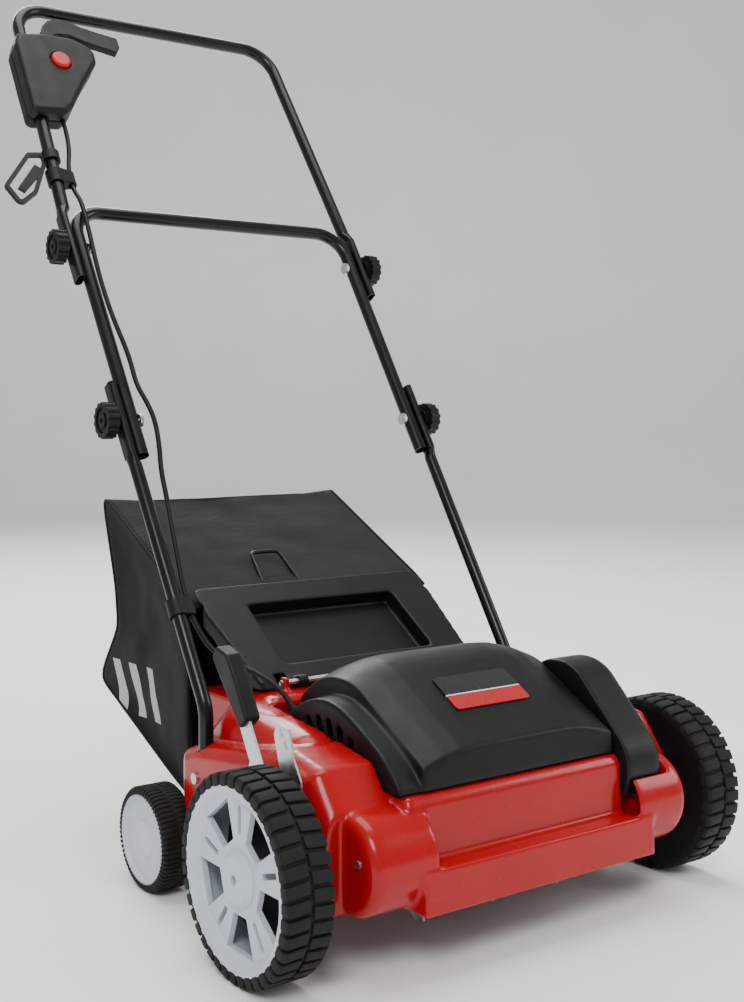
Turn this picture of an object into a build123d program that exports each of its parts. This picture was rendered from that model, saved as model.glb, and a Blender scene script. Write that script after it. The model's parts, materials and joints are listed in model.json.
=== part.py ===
"""Electric lawn dethatcher, in millimetres.

Frame: +Z up, the front of the machine towards -Y, the ground at z = 0 and the origin
under the middle of the machine. Right and left are those of a person who pushes it,
so the right side is at -X.
"""
import os
from math import atan2, cos, degrees, pi, radians, sin, tan

from build123d import *

os.makedirs("parts", exist_ok=True)

# ---------------------------------------------------------------- driving dimensions
AXLE_Y = -330.0  # front wheel centres
WHEEL_R = 100.0
WHEEL_INNER = 251.0  # inner plane of a front wheel
WHEEL_OUTER = 302.0
RIM_R = 88.0
REAR_BASE = 271.0  # wheelbase
REAR_R = 58.7
REAR_INNER = 221.0
REAR_OUTER = 261.5
REAR_RIM_R = 49.8
WALL = 3.0  # plastic wall
GAP = 0.3  # between pieces of different bodies
FIT = 0.05  # radial clearance of a shaft that turns in a hole

DECK_HALF = 155.0
BODY_HALF = 207.0
WING_HALF = 232.0
DECK_BOTTOM = 62.0
DECK_TOP = 168.0  # shelf that the motor cover stands on

ROLLER_Y = AXLE_Y - 4.0
ROLLER_Z = 84.0
BLADE_TIP_R = 66.0
MOTOR_Y = AXLE_Y + 21.0
MOTOR_Z = 198.0

SLOPE = 57.4  # handle's angle above the ground
JOINT_Y = 64.5  # lower handle joint
JOINT_Z = 523.0
JOINT_STEP = 255.2  # from the lower joint to the upper one, along the handle
BAR_AT = 674.7  # hand bar, along the handle from the lower joint
MID_BAR_AT = 316.2
TUBE_R = 8.6
LOWER_TUBE_R = 8.0
TUBE_WALL = 1.3
MID_X = 207.5
OUTER_X = MID_X + TUBE_R + GAP + 5.5  # middle of a flattened outer tube
OVAL = (11.0, 21.0)  # flattened tube
BOLT_R = 3.0

HANDLE = Plane(
    origin=(0, JOINT_Y, JOINT_Z),
    x_dir=(1, 0, 0),
    z_dir=(0, -sin(radians(SLOPE)), cos(radians(SLOPE))),
)


HANDLE_AXIS = Axis(tuple(HANDLE.origin), tuple(HANDLE.z_dir))  # through its front face


def back(distance):
    """The y of a point that far behind the front axle."""
    return AXLE_Y + distance


def on_handle(x, along, off=0.0):
    """A point of the handle's plane as a global vector, off its front face."""
    return HANDLE.from_local_coords(Vector(x, along, off))


def finish(part, name):
    """Label one piece and write its STEP."""
    part.label = name
    export_step(part, f"parts/{name}.step")


def side_outline(points):
    """Points given as (behind the front axle, height) for a sketch on Plane.YZ."""
    return [(back(y), z) for y, z in points]


# ---------------------------------------------------------------- deck housing
FRONT_OUTLINE = [
    (-107.5, DECK_BOTTOM), (-104, 106), (-81, 107.5), (-77, 160), (-71, DECK_TOP),
    (160, DECK_TOP + 4), (166, 222), (192, 224), (262, 214), (262, DECK_BOTTOM),
]
BODY_OUTLINE = [
    (-36, DECK_BOTTOM), (-36, 150), (0, 188), (60, 208), (195, 221),
    (252, 172), (250, 132), (205, DECK_BOTTOM),
]
WING_OUTLINE = [
    (-52, DECK_BOTTOM), (-52, 160), (-25, 195), (30, 204), (110, 190), (199, 178),
    (240, 163), (240, 128), (199, DECK_BOTTOM),
]
NOSE_AT = (-53.0, 110.0)
NOSE_R = 50.0
NOSE_HALF = 212.0
CHUTE_HALF = 170.0
CHUTE_END = 306.0
COVER_HALF = 158.0
COVER_FRONT = -73.0
COVER_BACK = 162.0
BELT_FLOOR = 118.0  # lowest edge of the belt cover's well
BELT_BOX = (131.0, 191.0, -90.0, 82.0)  # x low, x high, front, back behind the axle


def moulding(outline, half, inset, shoulder):
    """A side outline run across the machine, its upper long edges rounded."""
    drop = 12.0 if inset else 0.0
    with BuildPart() as solid:
        with BuildSketch(Plane.YZ):
            with BuildLine():
                Polyline(*side_outline(outline), close=True)
            make_face()
            if inset:
                offset(amount=-inset, kind=Kind.INTERSECTION)
        extrude(amount=half - inset, both=True)
        rims = solid.edges().filter_by(
            lambda e: abs(abs(e.center().X) - half + inset) < 1
            and e.center().Z > 2 * DECK_BOTTOM
        )
        fillet(rims, radius=shoulder - inset)
        if drop:
            low = solid.faces().sort_by(Axis.Z)[0]
            extrude(low, amount=drop)
    return solid.part


def nose(side, inset):
    """The round bulge outboard of the skirt, in front of a wing."""
    start = DECK_HALF - 20
    length = NOSE_HALF - inset - start
    with BuildPart() as solid:
        with BuildSketch(Plane.YZ.offset(side * start)):
            with Locations((back(NOSE_AT[0]), NOSE_AT[1])):
                Circle(NOSE_R - inset)
        extrude(amount=side * length)
        outer = solid.faces().sort_by(Axis.X)[-1 if side > 0 else 0]
        fillet(outer.edges(), radius=13 - inset)
        with Locations((side * (start + length / 2), back(NOSE_AT[0] + 14), NOSE_AT[1] - 25)):
            Box(length, 28, 50)
        with Locations((side * (start + length / 2), back(NOSE_AT[0]), DECK_BOTTOM - 10)):
            Box(length + 2, 3 * NOSE_R, 20, mode=Mode.ADD if inset else Mode.SUBTRACT)
    return solid.part


def outer_form(inset):
    """The whole outer form of the housing, or its hollow when inset."""
    with BuildPart() as form:
        add(moulding(FRONT_OUTLINE, DECK_HALF, inset, 7.0))
        add(moulding(BODY_OUTLINE, BODY_HALF, inset, 34.0))
        add(moulding(WING_OUTLINE, WING_HALF, inset, 20.0))
        for side in (-1, 1):
            add(nose(side, inset))
    return form.part


def block(x_range, y_range, z_range):
    """A box from its low and high x, y behind the axle, and z."""
    with BuildPart() as solid:
        middle = [(low + high) / 2 for low, high in (x_range, y_range, z_range)]
        with Locations((middle[0], back(middle[1]), middle[2])):
            Box(x_range[1] - x_range[0], y_range[1] - y_range[0], z_range[1] - z_range[0])
    return solid.part


def disc(x_range, y, z, radius):
    """A cylinder along X."""
    with BuildPart() as solid:
        with BuildSketch(Plane.YZ.offset(x_range[0])):
            with Locations((y, z)):
                Circle(radius)
        extrude(amount=x_range[1] - x_range[0])
    return solid.part


FLAP_Y = back(190.0)  # rear flap's hinge
FLAP_Z = 232.0
LUG_X = 123.0
ROD_R = 3.0
ROLLER_HALF = 150.0  # half the roller chamber
SIDE_PLATE = 5.0
BEARING_R = 16.0
AXLE_R = 6.0
CRANK_Y = AXLE_Y + 70.0
CRANK_Z = 112.0
LEG_FOOT_Y = back(197.0)
LEG_X = 219.0
LEG_FOOT_Z = 118.0
REAR_Y = back(REAR_BASE)
SHAFT_R = 8.0
SCREW_R = 2.5
SCREW_Y = back(NOSE_AT[0] - 23.0)
SCREW_Z = NOSE_AT[1] + 8.0

# Deck housing: one moulding with an open underside, two inner plates for the roller
outside = outer_form(0)
with BuildPart() as deck_housing:
    add(outside)
    for side in (-1, 1):
        with BuildSketch(Plane.YZ.offset(side * 188)):
            with BuildLine():
                Polyline(
                    *side_outline([(190, 70), (190, 140), (240, 140), (287, 70), (287, 44), (255, 44)]),
                    close=True,
                )
            make_face()
        extrude(amount=side * 12)
    add(block((-CHUTE_HALF, CHUTE_HALF), (180, CHUTE_END), (DECK_BOTTOM + 6, 213)))
    add(outer_form(WALL), mode=Mode.SUBTRACT)
    add(
        block(
            (-CHUTE_HALF + WALL, CHUTE_HALF - WALL), (150, CHUTE_END + 5), (DECK_BOTTOM - 9, 213 - WALL)
        ),
        mode=Mode.SUBTRACT,
    )
    pocket = ((-COVER_HALF, COVER_HALF), (COVER_FRONT, COVER_BACK), (DECK_TOP, 300))
    rim = [(pocket[0][0] - WALL, pocket[0][1] + WALL), (-60, COVER_BACK + WALL), (DECK_TOP - WALL, 230)]
    add(block(*rim) & outside)
    add(block(*pocket), mode=Mode.SUBTRACT)
    well = ((BELT_BOX[0] - WALL, BELT_BOX[1] + WALL), (BELT_BOX[2], BELT_BOX[3] + WALL), (110, 240))
    add(block(*well) & outside)
    add(block(*pocket), mode=Mode.SUBTRACT)
    add(
        block((BELT_BOX[0], BELT_BOX[1]), (BELT_BOX[2], BELT_BOX[3]), (105, 300)),
        mode=Mode.SUBTRACT,
    )
    for side in (-1, 1):
        low = min(side * ROLLER_HALF, side * (ROLLER_HALF + SIDE_PLATE))
        top = DECK_TOP if side < 0 else BELT_FLOOR
        add(block((low, low + SIDE_PLATE), (-100, 160), (DECK_BOTTOM, top)) & outside)
    add(disc((-WING_HALF - 4, WING_HALF + 4), CRANK_Y, CRANK_Z, AXLE_R + 5) - block(
        (-WING_HALF + 9, WING_HALF - 9), (50, 90), (80, 140)
    ))
    add(block((-116, 108), (21 - 30, 21 + 30), (DECK_TOP - 10, DECK_TOP + 1)), mode=Mode.SUBTRACT)
    add(disc((110, 140), MOTOR_Y, MOTOR_Z, 10), mode=Mode.SUBTRACT)
    add(disc((-202, 202), REAR_Y, REAR_R, AXLE_R + FIT), mode=Mode.SUBTRACT)
    add(disc((-240, 240), CRANK_Y, CRANK_Z, AXLE_R + FIT), mode=Mode.SUBTRACT)
    add(disc((-160, 160), ROLLER_Y, ROLLER_Z, BEARING_R), mode=Mode.SUBTRACT)
    add(disc((-215, 215), SCREW_Y, SCREW_Z, SCREW_R), mode=Mode.SUBTRACT)
    for side in (-1, 1):
        with Locations((side * LUG_X, FLAP_Y, (210 + FLAP_Z + 6.5) / 2)):
            Box(8, 12, FLAP_Z + 6.5 - 210)
    add(disc((-140, 140), FLAP_Y, FLAP_Z, ROD_R), mode=Mode.SUBTRACT)
    for side in (-1, 1):
        with Locations((side * LEG_X, LEG_FOOT_Y, LEG_FOOT_Z + 40)):
            Cylinder(LOWER_TUBE_R, 80, mode=Mode.SUBTRACT)
        with Locations((side * LEG_X, LEG_FOOT_Y, LEG_FOOT_Z - 4)):
            Box(26, 22, 8)
        add(disc((side * LEG_X - 16, side * LEG_X + 16), LEG_FOOT_Y, 140, BOLT_R), mode=Mode.SUBTRACT)
finish(deck_housing.part, "deck_housing")


# ---------------------------------------------------------------- motor cover
HOOD_HALF = 129.0
PANEL_HALF = 58.0  # flat middle of the hood's top
HOOD_STEPS = [-1.0, -0.8, -0.62, -0.45, 0.45, 0.62, 0.8, 1.0]
HOOD_BASE = DECK_TOP + 0.5


def hood_outline(x, inset):
    """A section of the hood: upright front, sloping top and steep back."""
    droop = (max(abs(x) - PANEL_HALF, 0) / (HOOD_HALF - PANEL_HALF)) ** 2
    front_top = 205 - 14 * droop - inset
    shoulder = 263 - 16 * droop - inset
    back_top = 236 - 12 * droop - inset
    base = HOOD_BASE - (5 if inset else 0)
    return [
        (COVER_FRONT + 3 + inset, base),
        (COVER_FRONT + 6 + inset, front_top),
        (36, shoulder),
        (76, 274 - 18 * droop - inset),
        (COVER_BACK - 12 - inset, back_top),
        (COVER_BACK - 3 - inset, base),
    ]


def hood(inset):
    """The hood as a loft through its sections."""
    with BuildPart() as solid:
        for step in HOOD_STEPS:
            points = side_outline(hood_outline(step * HOOD_HALF, inset))
            with BuildSketch(Plane.YZ.offset(step * (HOOD_HALF - inset))):
                with BuildLine():
                    Line(points[0], points[1])
                    slope = Line(points[1], points[2])
                    Spline(points[2:5], tangents=[slope % 1, (0.7, -0.7)])
                    Line(points[4], points[5])
                    Line(points[5], points[0])
                make_face()
        loft(ruled=True)
    return solid.part


CHEEK_OUTER = -COVER_HALF + 0.5
VENTS = 8


def cheek(inset):
    """The arched right end of the cover, which carries the air slots."""
    base = HOOD_BASE - (5 if inset else 0)
    crown = [
        (COVER_FRONT + 8 + inset, 176 - inset), (-42, 198 - inset), (0, 222 - inset), (52, 240 - inset),
        (104, 230 - inset), (COVER_BACK - 18 - inset, 200 - inset),
    ]
    ends = [(COVER_FRONT + 6 + inset, base), crown[0], crown[-1], (COVER_BACK - 8 - inset, base)]
    corners = side_outline(ends)
    with BuildPart() as solid:
        with BuildSketch(Plane.YZ.offset(CHEEK_OUTER + inset)):
            with BuildLine():
                Line(corners[0], corners[1])
                Spline(side_outline(crown))
                Line(corners[2], corners[3])
                Line(corners[3], corners[0])
            make_face()
        extrude(amount=-CHEEK_OUTER - HOOD_HALF + 6)
    return solid.part


# The cable's last two points, where a gland takes it into the cover
CABLE_LAST = (-149.0, 146.0, 230.0)
CABLE_END = (-146.0, 122.0, 206.0)
CABLE_R = 3.0
GLAND_R = 6.5


def gland_tube(radius):
    """A short cylinder round the cable's end, through the cover."""
    last, end = [Vector(x, back(y), z) for x, y, z in (CABLE_LAST, CABLE_END)]
    with BuildPart() as solid:
        with BuildSketch(Plane(origin=last * 0.32 + end * 0.68, z_dir=end - last)):
            Circle(radius)
        extrude(amount=7, both=True)
    return solid.part


with BuildPart() as cover_hollow:
    add(hood(WALL))
    add(cheek(WALL))

with BuildPart() as motor_cover:
    add(hood(0))
    add(cheek(0))
    add(cover_hollow.part, mode=Mode.SUBTRACT)
    with BuildSketch(Plane.YZ.offset(-COVER_HALF - 2)):
        for i in range(VENTS):
            lean = 22 - 3 * i
            middle = 104 - 18 * i
            top = 222 - 0.0062 * (middle - 60) ** 2
            with Locations(Location((back(middle), (top + 184) / 2, 0), -lean)):
                SlotOverall(max(top - 184, 12), 8, rotation=90)
    extrude(amount=14, mode=Mode.SUBTRACT)
    add(gland_tube(GLAND_R), mode=Mode.SUBTRACT)
    add(disc((110, 140), MOTOR_Y, MOTOR_Z, 10), mode=Mode.SUBTRACT)
finish(motor_cover.part, "motor_cover")

BELT_COVER_X = 132.0
BELT_COVER_END = 190.0
BELT_COVER_BASE = 122.0


def belt_form(inset):
    """Two round noses over the pulleys, joined by their outer tangents."""
    with BuildPart() as solid:
        with BuildSketch(Plane.YZ.offset(BELT_COVER_X + inset)):
            with BuildLine():
                low_y, low_z, low_r = back(-38), 150.0, 50.0 - inset
                top_y, top_z, top_r = back(22), 199.0, 57.0 - inset
                tilt = degrees(atan2(top_z - low_z, top_y - low_y))
                CenterArc((top_y, top_z), top_r, tilt - 97, 194)
                CenterArc((low_y, low_z), low_r, tilt + 97, 166)
            make_hull()
        extrude(amount=BELT_COVER_END - BELT_COVER_X - 2 * inset)
        fillet(solid.faces().sort_by(Axis.X)[-1].edges(), radius=16 - inset)
    return solid.part


with BuildPart() as belt_cover:
    add(belt_form(0))
    add(block((100, 220), (-140, 140), (0, BELT_COVER_BASE)), mode=Mode.SUBTRACT)
    add(belt_form(WALL), mode=Mode.SUBTRACT)
    add(block((157, 179), (-2, 60), (100, 156)), mode=Mode.SUBTRACT)
    add(disc((BELT_COVER_X - 1, BELT_COVER_X + 10), MOTOR_Y, MOTOR_Z, 10), mode=Mode.SUBTRACT)
finish(belt_cover.part, "belt_cover")

# Label plate on the hood's sloping top, a plain two-tone badge
LABEL_SLOPE = 29.3
with BuildPart() as label_plate:
    with BuildSketch(
        Plane(
            origin=(0, back(-1), 242.9),
            x_dir=(1, 0, 0),
            z_dir=(0, -sin(radians(LABEL_SLOPE)), cos(radians(LABEL_SLOPE))),
        )
    ):
        RectangleRounded(100, 50, 4)
    extrude(amount=1.2)
finish(label_plate.part, "label_plate")


# ---------------------------------------------------------------- roller and drive
BLADES = 15
BLADE_PITCH = 18.0
BLADE_T = 2.0
PULLEY_X = 168.0
BELT_W = 10.0
ROLLER_PULLEY_R = 27.0
MOTOR_PULLEY_R = 18.0
SHAFT_ENDS = (-160.0, 180.0)

with BuildPart() as roller_shaft:
    add(disc(SHAFT_ENDS, ROLLER_Y, ROLLER_Z, SHAFT_R))
    add(disc((-146, -142), ROLLER_Y, ROLLER_Z, 15))
    add(disc((142, 146), ROLLER_Y, ROLLER_Z, 15))
finish(roller_shaft.part, "roller_shaft")

with BuildPart() as roller_blades:
    for i in range(BLADES):
        x = (i - (BLADES - 1) / 2) * BLADE_PITCH
        with BuildSketch(Plane.YZ.offset(x - BLADE_T / 2)):
            with Locations((ROLLER_Y, ROLLER_Z)):
                Circle(24)
                for turn in range(3):
                    angle = radians(120 * turn + 90 + 24 * (i % 5))
                    lead = angle + radians(13)
                    outer = (BLADE_TIP_R * cos(angle), BLADE_TIP_R * sin(angle))
                    Polygon(
                        (23 * cos(angle - 0.6), 23 * sin(angle - 0.6)),
                        outer,
                        (BLADE_TIP_R * 0.93 * cos(lead), BLADE_TIP_R * 0.93 * sin(lead)),
                        (23 * cos(angle + 0.7), 23 * sin(angle + 0.7)),
                        align=None,
                    )
                Circle(SHAFT_R, mode=Mode.SUBTRACT)
        extrude(amount=BLADE_T)
finish(roller_blades.part, "roller_blades")

with BuildPart() as roller_spacers:
    for i in range(BLADES - 1):
        x = (i - (BLADES - 1) / 2) * BLADE_PITCH + BLADE_T / 2
        with BuildSketch(Plane.YZ.offset(x)):
            with Locations((ROLLER_Y, ROLLER_Z)):
                Circle(14)
                Circle(SHAFT_R, mode=Mode.SUBTRACT)
        extrude(amount=BLADE_PITCH - BLADE_T)
finish(roller_spacers.part, "roller_spacers")


def pulley(y, z, radius, bore):
    """A belt pulley with two flanges, the belt's middle at PULLEY_X."""
    half = BELT_W / 2 + 1
    with BuildPart() as solid:
        for low, high, r in (
            (-half, half, radius), (-half - 2, -half, radius + 4), (half, half + 2, radius + 4)
        ):
            add(disc((PULLEY_X + low, PULLEY_X + high), y, z, r))
        add(disc((PULLEY_X - 20, PULLEY_X + 20), y, z, bore), mode=Mode.SUBTRACT)
    return solid.part


with BuildPart() as roller_pulley:
    add(pulley(ROLLER_Y, ROLLER_Z, ROLLER_PULLEY_R, SHAFT_R))
finish(roller_pulley.part, "roller_pulley")

with BuildPart() as motor_pulley:
    add(pulley(MOTOR_Y, MOTOR_Z, MOTOR_PULLEY_R, 6.0))
finish(motor_pulley.part, "motor_pulley")

with BuildPart() as drive_belt:
    for thickness, mode in ((3.0, Mode.ADD), (GAP, Mode.SUBTRACT)):
        with BuildSketch(Plane.YZ.offset(PULLEY_X - BELT_W / 2)):
            with BuildLine():
                tilt = degrees(atan2(MOTOR_Z - ROLLER_Z, MOTOR_Y - ROLLER_Y))
                CenterArc((MOTOR_Y, MOTOR_Z), MOTOR_PULLEY_R + thickness, tilt - 85, 170)
                CenterArc((ROLLER_Y, ROLLER_Z), ROLLER_PULLEY_R + thickness, tilt + 85, 190)
            make_hull()
        extrude(amount=BELT_W, mode=mode)
finish(drive_belt.part, "drive_belt")

BEARING_X = ROLLER_HALF + SIDE_PLATE / 2
with BuildPart() as roller_bearings:
    for side in (-1, 1):
        with BuildSketch(Plane.YZ.offset(side * BEARING_X - SIDE_PLATE / 2)):
            with Locations((ROLLER_Y, ROLLER_Z)):
                Circle(BEARING_R)
                Circle(SHAFT_R + FIT, mode=Mode.SUBTRACT)
        extrude(amount=SIDE_PLATE)
finish(roller_bearings.part, "roller_bearings")

with BuildPart() as bearing_flanges:
    for side in (-1, 1):
        start = side * (ROLLER_HALF - 3) - (3 if side < 0 else 0)
        with BuildSketch(Plane.YZ.offset(start)):
            with Locations((ROLLER_Y, ROLLER_Z)):
                RectangleRounded(50, 50, 12)
                Circle(BEARING_R - 3, mode=Mode.SUBTRACT)
                with GridLocations(38, 38, 2, 2):
                    Circle(2.2, mode=Mode.SUBTRACT)
        extrude(amount=3)
finish(bearing_flanges.part, "bearing_flanges")

MOTOR_R = 38.0
MOTOR_X = (-102.0, 100.0)
MOTOR_SHAFT_R = 6.0
CAN_WALL = 3.0
with BuildPart() as motor_housing:
    add(disc(MOTOR_X, MOTOR_Y, MOTOR_Z, MOTOR_R))
    for x in (-70, 62):
        with Locations((x, MOTOR_Y, DECK_TOP + 3)):
            Box(14, 96, 6)
    inner_x = (MOTOR_X[0] + CAN_WALL, MOTOR_X[1] - CAN_WALL)
    add(disc(inner_x, MOTOR_Y, MOTOR_Z, MOTOR_R - CAN_WALL), mode=Mode.SUBTRACT)
    add(disc((-130, 130), MOTOR_Y, MOTOR_Z, MOTOR_SHAFT_R + FIT), mode=Mode.SUBTRACT)
    with Locations(Plane.YZ.offset(MOTOR_X[0] - 1) * Location((MOTOR_Y, MOTOR_Z))):
        with PolarLocations(27, 8):
            Cylinder(4.5, 12, mode=Mode.SUBTRACT)
finish(motor_housing.part, "motor_housing")

STATOR_IN = 26.0
with BuildPart() as stator_core:
    with BuildSketch(Plane.YZ.offset(-50)):
        with Locations((MOTOR_Y, MOTOR_Z)):
            Circle(MOTOR_R - CAN_WALL)
            Circle(STATOR_IN, mode=Mode.SUBTRACT)
    extrude(amount=90)
finish(stator_core.part, "stator_core")

with BuildPart() as motor_rotor:
    add(disc((MOTOR_X[0] - 4, PULLEY_X + 9), MOTOR_Y, MOTOR_Z, MOTOR_SHAFT_R))
    with BuildSketch(Plane.YZ.offset(-48)):
        with Locations((MOTOR_Y, MOTOR_Z)):
            Circle(STATOR_IN - 1.5)
            with PolarLocations(STATOR_IN - 3, 12):
                SlotOverall(10, 2.5, mode=Mode.SUBTRACT)
    extrude(amount=86)
    add(disc((-86, -62), MOTOR_Y, MOTOR_Z, 15))
finish(motor_rotor.part, "motor_rotor")

with BuildPart() as cooling_fan:
    with BuildSketch(Plane.YZ.offset(62)):
        with Locations((MOTOR_Y, MOTOR_Z)):
            Circle(12)
            with PolarLocations(20, 9):
                Rectangle(26, 3, rotation=28)
            Circle(MOTOR_SHAFT_R, mode=Mode.SUBTRACT)
    extrude(amount=14)
    add(disc((60, 62), MOTOR_Y, MOTOR_Z, 34) - disc((59, 63), MOTOR_Y, MOTOR_Z, MOTOR_SHAFT_R))
finish(cooling_fan.part, "cooling_fan")

# ---------------------------------------------------------------- wheels and height setting
HUB_R = 13.0
DISH = 9.0  # how far the front wheel's face lies inside its rim


def ring(side, y, z, points):
    """A ring turned about the wheel's axis from (outward from x = 0, radius) points."""
    with BuildPart() as solid:
        with BuildSketch(Plane(origin=(0, y, z), x_dir=(side, 0, 0), z_dir=(0, -side, 0))):
            with BuildLine():
                Polyline(*points, close=True)
            make_face()
        revolve(axis=Axis((0, y, z), (1, 0, 0)))
    return solid.part


def tyre(side, y, z, radius, rim_r, inner, outer, groove):
    """A tyre with sloped shoulders and a groove round the middle of its tread."""
    edge = (outer - inner) * 0.12
    middle = (inner + outer) / 2
    return ring(
        side, y, z,
        [
            (inner, rim_r), (inner, radius - edge), (inner + edge, radius),
            (middle - groove, radius), (middle - groove / 2, radius - groove),
            (middle + groove / 2, radius - groove), (middle + groove, radius),
            (outer - edge, radius), (outer, radius - edge), (outer, rim_r),
        ],
    )


def front_rim(side):
    """A dished rim with five pairs of spokes and a round hub."""
    face = WHEEL_OUTER - DISH
    with BuildPart() as solid:
        add(
            ring(
                side, AXLE_Y, WHEEL_R,
                [
                    (WHEEL_INNER + 6, RIM_R), (WHEEL_INNER + 6, RIM_R - 3),
                    (face - 6, 76), (face - 6, AXLE_R),
                    (face, AXLE_R), (face, 74), (WHEEL_OUTER - 1, 82), (WHEEL_OUTER, RIM_R),
                ],
            )
        )
        add(
            ring(
                side, AXLE_Y, WHEEL_R,
                [(face - 1, 5), (WHEEL_OUTER - 2, 5), (WHEEL_OUTER - 2, 22), (face + 2, 27), (face - 1, 27)],
            )
        )
        add(
            ring(
                side, AXLE_Y, WHEEL_R,
                [(WHEEL_INNER + 1, AXLE_R), (face, AXLE_R), (face, HUB_R), (WHEEL_INNER + 1, HUB_R)],
            )
        )
        with BuildSketch(Plane.YZ.offset(side * (face - 9))):
            with Locations((AXLE_Y, WHEEL_R)):
                with PolarLocations(56, 5, start_angle=18):
                    SlotOverall(28, 6)
                with PolarLocations(53, 5, start_angle=54):
                    Trapezoid(48, 36, 71, rotation=90)
        extrude(amount=side * 14, mode=Mode.SUBTRACT)
        add(disc((-WHEEL_OUTER + 6, WHEEL_OUTER - 6), AXLE_Y, WHEEL_R, AXLE_R + FIT), mode=Mode.SUBTRACT)
    return solid.part


def rear_rim(side):
    """A closed disc wheel with a raised middle."""
    face = REAR_OUTER - 5
    return ring(
        side, REAR_Y, REAR_R,
        [
            (REAR_INNER + 2, AXLE_R + FIT), (face - 4, AXLE_R + FIT), (face - 4, 0.01), (face + 2, 0.01),
            (face + 2, 20), (face, 22), (face, REAR_RIM_R - 5), (REAR_OUTER, REAR_RIM_R - 2),
            (REAR_OUTER, REAR_RIM_R), (REAR_INNER + 4, REAR_RIM_R), (REAR_INNER + 4, REAR_RIM_R - 4),
            (face - 4, REAR_RIM_R - 6), (face - 4, 14), (REAR_INNER + 2, 14),
        ],
    )


for side, hand in ((-1, "right"), (1, "left")):
    finish(
        tyre(side, AXLE_Y, WHEEL_R, WHEEL_R, RIM_R, WHEEL_INNER, WHEEL_OUTER, 3.0),
        f"front_tyre_{hand}",
    )
    finish(front_rim(side), f"front_rim_{hand}")
    finish(
        ring(
            side, AXLE_Y, WHEEL_R,
            [(WHEEL_INNER, HUB_R), (WHEEL_INNER + 3, HUB_R), (WHEEL_INNER + 3, RIM_R), (WHEEL_INNER, RIM_R)],
        ),
        f"front_wheel_disc_{hand}",
    )
    finish(
        tyre(side, REAR_Y, REAR_R, REAR_R, REAR_RIM_R, REAR_INNER, REAR_OUTER, 1.6),
        f"rear_tyre_{hand}",
    )
    finish(rear_rim(side), f"rear_rim_{hand}")

with BuildPart() as rear_axle:
    add(disc((-REAR_OUTER + 10, REAR_OUTER - 10), REAR_Y, REAR_R, AXLE_R))
    for side in (-1, 1):
        low = min(side * (REAR_INNER - 2), side * (REAR_INNER - 20))
        add(disc((low, low + 18), REAR_Y, REAR_R, AXLE_R + 3))
finish(rear_axle.part, "rear_axle")

ARM_X = (236.5, 242.0)
LEVER_X = (242.2, 244.8)
with BuildPart() as front_axle:
    add(disc((-ARM_X[1], ARM_X[1]), CRANK_Y, CRANK_Z, AXLE_R))
    for side in (-1, 1):
        with BuildSketch(Plane.YZ.offset(min(side * ARM_X[0], side * ARM_X[1]))):
            with BuildLine():
                lean = degrees(atan2(CRANK_Z - WHEEL_R, CRANK_Y - AXLE_Y))
                CenterArc((CRANK_Y, CRANK_Z), 12, lean - 90, 180)
                CenterArc((AXLE_Y, WHEEL_R), 12, lean + 90, 180)
            make_hull()
        extrude(amount=ARM_X[1] - ARM_X[0])
        low = min(side * ARM_X[0], side * (WHEEL_OUTER - 8))
        add(disc((low, low + WHEEL_OUTER - 8 - ARM_X[0]), AXLE_Y, WHEEL_R, AXLE_R))
finish(front_axle.part, "front_axle")

# Height lever on the right-hand arm: a cranked plate and a hooked grip
LEVER_OUTLINE = [
    (58, 102), (82, 102), (84, 124), (62, 190), (86, 230), (100, 252), (86, 262), (68, 238), (40, 192),
    (50, 150), (57, 124),
]
with BuildPart() as lever_plate:
    with BuildSketch(Plane.YZ.offset(-LEVER_X[1])):
        with BuildLine():
            Polyline(*side_outline(LEVER_OUTLINE), close=True)
        make_face()
    extrude(amount=LEVER_X[1] - LEVER_X[0])
finish(lever_plate.part, "lever_plate")

GRIP_OUTLINE = [(60, 232), (74, 220), (104, 256), (128, 284), (120, 297), (98, 291), (78, 263)]
with BuildPart() as lever_grip:
    with BuildSketch(Plane.YZ.offset(-250)) as profile:
        with BuildLine():
            Polyline(*side_outline(GRIP_OUTLINE), close=True)
        make_face()
        fillet(profile.vertices(), radius=4)
    extrude(amount=18)
    chamfer(lever_grip.faces().filter_by(Axis.X).edges(), length=1.5)
    add(lever_plate.part, mode=Mode.SUBTRACT)
finish(lever_grip.part, "lever_grip")

DETENT_OUTLINE = [
    (-14, 160), (20, 160), (24, 190), (34, 222), (26, 234), (8, 231), (-2, 202), (-14, 184),
]
with BuildPart() as detent_plate:
    with BuildSketch(Plane.YZ.offset(-WING_HALF - 2)):
        with BuildLine():
            Polyline(*side_outline(DETENT_OUTLINE), close=True)
        make_face()
        for y, z in ((12, 214), (20, 224), (4, 172)):
            with Locations((back(y), z)):
                SlotOverall(10, 4, rotation=60, mode=Mode.SUBTRACT)
    extrude(amount=2)
finish(detent_plate.part, "detent_plate")


# ---------------------------------------------------------------- handle
LOWER_X = 219.0
UPPER_X = 217.0  # upper legs above their flattened ends
UPPER_BAR_X = 203.0
FLAT_HALF = 50.0  # flattened stretch on each side of a joint
FLAT_END = 62.0  # where the tube is round again
BAR_R = 45.0
MID_BAR_R = 40.0
LEG_BEND_R = 40.0
LEG_LEAN = (UPPER_X - UPPER_BAR_X) / (BAR_AT - JOINT_STEP - FLAT_END)


DOWN_HANDLE = (0, -cos(radians(SLOPE)), -sin(radians(SLOPE)))


def across(along):
    """The plane square to the handle there: local x is x, local y its front side."""
    return Plane(
        origin=on_handle(0, along),
        x_dir=(1, 0, 0),
        z_dir=(0, -cos(radians(SLOPE)), -sin(radians(SLOPE))),
    )


def leg_x(above):
    """How far out the upper legs are at a distance above the upper joint."""
    return UPPER_X - LEG_LEAN * (above - FLAT_END)


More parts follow.
